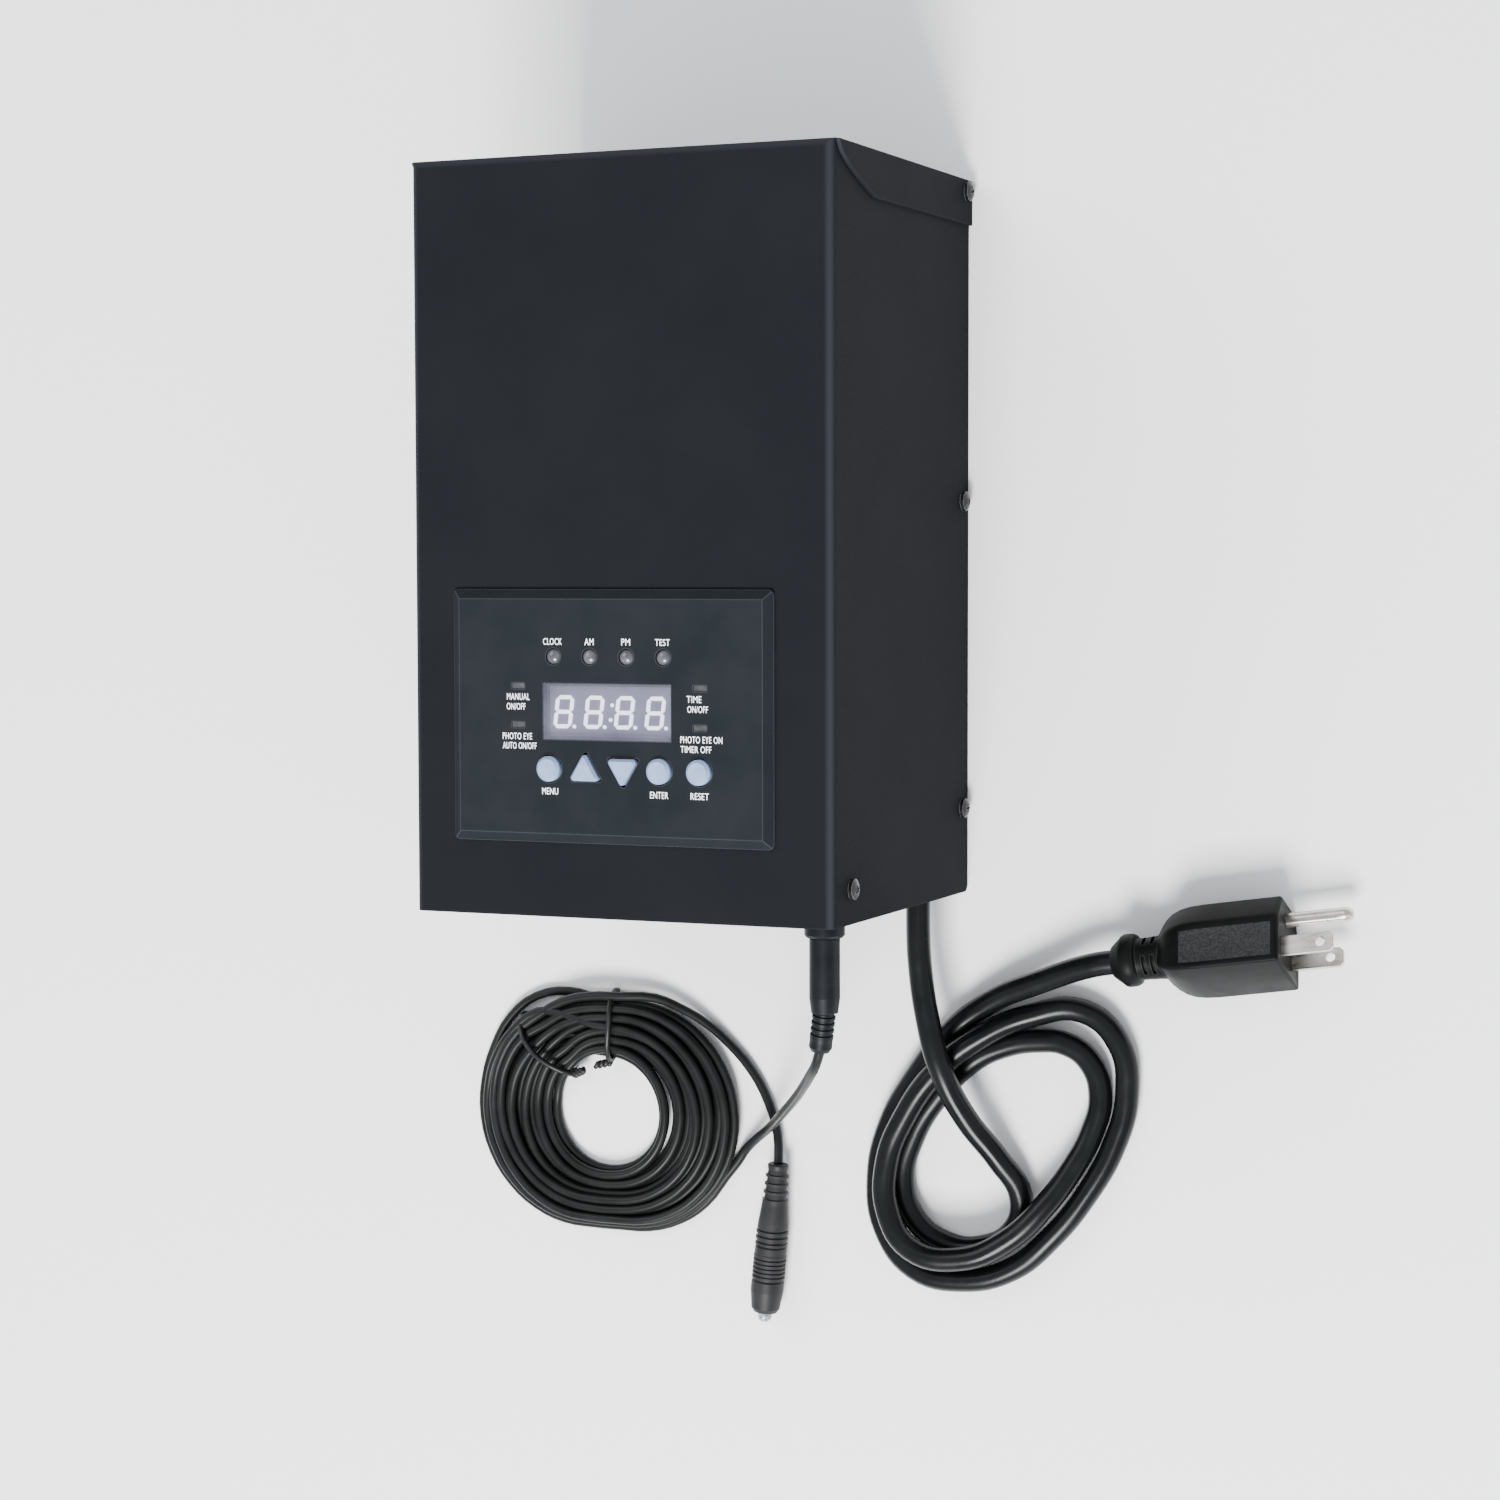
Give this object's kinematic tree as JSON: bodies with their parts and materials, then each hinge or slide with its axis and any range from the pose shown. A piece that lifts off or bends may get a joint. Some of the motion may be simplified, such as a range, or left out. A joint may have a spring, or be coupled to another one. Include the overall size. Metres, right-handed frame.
{
  "type": "coop door timer box",
  "caption": "Black steel wall box with a timer and light-sensor control panel, a coiled plug-in sensor lead and an earthed mains lead, for powering an automatic coop door.",
  "frame": {"origin": "centre of the wall face of the box, the flat outside of its back plate", "axes": "+Z out of the wall face towards the control panel, +Y up the wall once the box hangs (its top), +X to the right of someone facing the panel. The box is stored lying on its back, so Z = 0 is also the surface that it and both leads lie on."},
  "size_m": [0.323, 0.3946, 0.129],
  "materials": {
    "cover_paint": "matt black powder coat",
    "chassis_paint": "matt black powder coat",
    "bezel_black": "fine satin texture",
    "clamp_grey": "plain moulded",
    "screw_black": "black oxide, slightly glossy",
    "screw_zinc": "zinc plated",
    "window_filter": "tinted translucent lens, satin",
    "display_case": "plain moulded",
    "figure_white": "lit segments",
    "lamp_grey": "smoky epoxy dome",
    "bar_lens": "unlit bar lens",
    "button_grey": "satin light blue-grey moulding",
    "board_green": "solder mask",
    "switch_black": "plain moulded",
    "relay_blue": "moulded case",
    "fuse_glass": "clear tube with bright caps",
    "clip_brass": "plated",
    "capacitor_sleeve": "shrink sleeve",
    "terminal_green": "plain moulded",
    "pad_rubber": "matt",
    "winding": "yellow tape over copper winding",
    "plate_steel": "zinc plated",
    "bush_black": "matt",
    "jack_black": "satin moulded",
    "nickel": "bright nickel",
    "wire_black": "insulation",
    "wire_white": "insulation",
    "wire_green": "insulation",
    "ribbon_grey": "flat cable",
    "mains_sheath": "glossy cable sheath",
    "plug_black": "satin moulded, fine grain on the grips",
    "lead_sheath": "glossy thin cable sheath",
    "tie_black": "plastic-covered wire",
    "sensor_grey": "matt dark grey moulding",
    "lens_clear": "clear dome"
  },
  "bodies": {
    "box": {"front_cover": "cover_paint", "back_chassis": "chassis_paint", "cover_screws": "screw_black", "panel_bezel": "bezel_black", "panel_clamp": "clamp_grey", "clamp_screws": "screw_zinc", "display_window": "window_filter", "display_module": "display_case", "display_figures": "figure_white", "status_lamps": "lamp_grey", "mode_lamps": "bar_lens", "control_board": "board_green", "tact_switches": "switch_black", "control_screws": "screw_zinc", "power_board": "board_green", "power_posts": "screw_zinc", "power_screws": "screw_zinc", "relay": "relay_blue", "fuse": "fuse_glass", "fuse_clips": "clip_brass", "filter_capacitor": "capacitor_sleeve", "terminal_block": "terminal_green", "transformer_pad": "pad_rubber", "transformer": "winding", "transformer_plate": "plate_steel", "transformer_stud": "screw_zinc", "transformer_nut": "screw_zinc", "earth_stud": "screw_zinc", "earth_lug": "screw_zinc", "outlet_bush": "bush_black", "sensor_jack": "jack_black", "jack_nut": "nickel", "mains_bush": "bush_black", "live_wire": "wire_black", "neutral_wire": "wire_white", "earth_wire": "wire_green", "ribbon_cable": "ribbon_grey", "mains_lead": "mains_sheath", "mains_plug": "plug_black", "plug_blades": "nickel", "plug_earth_pin": "nickel", "sensor_plug": "jack_black", "sensor_lead": "lead_sheath", "sensor_coil": "lead_sheath", "coil_ties": "tie_black", "sensor_tail": "lead_sheath", "sensor_body": "sensor_grey", "sensor_lens": "lens_clear"},
    "menu_key": {"menu_button": "button_grey"},
    "up_key": {"up_button": "button_grey"},
    "down_key": {"down_button": "button_grey"},
    "enter_key": {"enter_button": "button_grey"},
    "reset_key": {"reset_button": "button_grey"}
  },
  "joints": [
    {"name": "menu_press", "type": "slide", "parent": "box", "child": "menu_key", "axis": [0, 0, -1], "range_m": [0, 0.0008], "stiffness_N_per_m": 1200},
    {"name": "up_press", "type": "slide", "parent": "box", "child": "up_key", "axis": [0, 0, -1], "range_m": [0, 0.0008], "stiffness_N_per_m": 1200},
    {"name": "down_press", "type": "slide", "parent": "box", "child": "down_key", "axis": [0, 0, -1], "range_m": [0, 0.0008], "stiffness_N_per_m": 1200},
    {"name": "enter_press", "type": "slide", "parent": "box", "child": "enter_key", "axis": [0, 0, -1], "range_m": [0, 0.0008], "stiffness_N_per_m": 1200},
    {"name": "reset_press", "type": "slide", "parent": "box", "child": "reset_key", "axis": [0, 0, -1], "range_m": [0, 0.0008], "stiffness_N_per_m": 1200}
  ]
}
